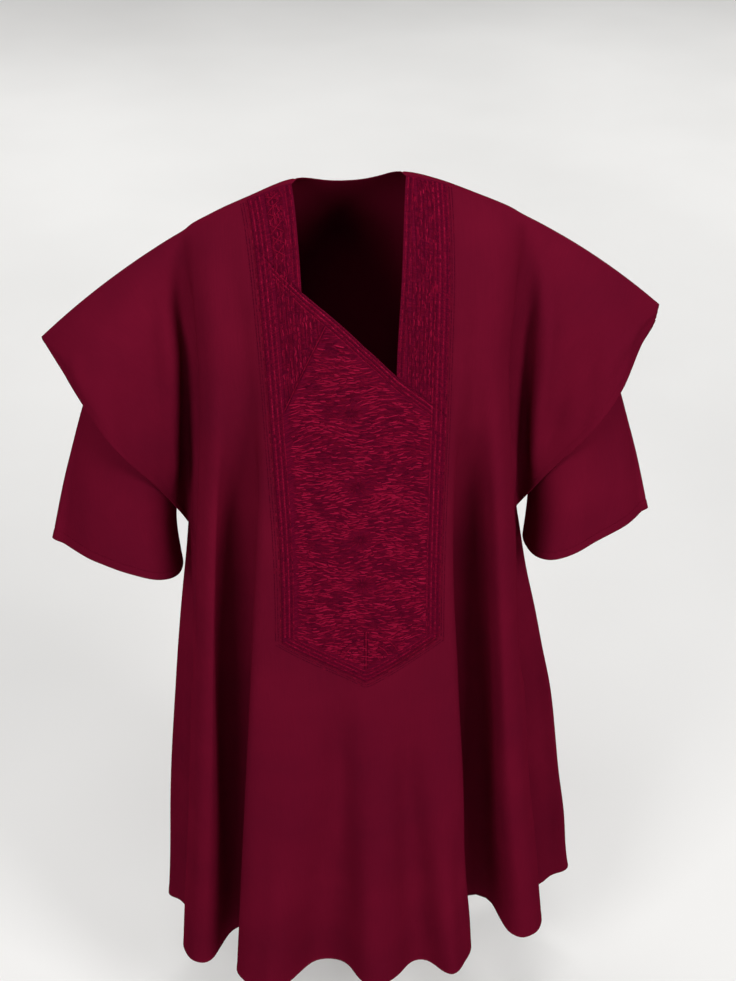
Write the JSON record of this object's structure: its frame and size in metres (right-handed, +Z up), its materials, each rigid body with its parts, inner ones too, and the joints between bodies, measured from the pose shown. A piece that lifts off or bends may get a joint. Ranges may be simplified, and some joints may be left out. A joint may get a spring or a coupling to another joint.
{
  "type": "grand boubou robe",
  "caption": "Wide ankle-length robe, worn and hollow, with winged shoulders over wide half sleeves, a slanting neck opening and an embroidered pocket panel.",
  "frame": {"origin": "the point on the shoulder line midway between the two sides of the neck, where the wearer's shoulders hold the robe", "axes": "+Z up, the front faces -Y, +X to the right of someone looking at the front"},
  "size_m": [0.94, 0.476, 1.407],
  "materials": {
    "robe_cloth": "smooth burgundy suiting, soft sheen, faint twill",
    "embroidery": "raised rayon thread work in crimson and dark plum on the burgundy cloth"
  },
  "bodies": {
    "root": {"front_panel": "robe_cloth", "back_panel": "robe_cloth", "sleeve_left": "robe_cloth", "sleeve_right": "robe_cloth", "pocket_panel": "embroidery", "band_left": "embroidery", "band_right": "embroidery"}
  },
  "joints": []
}
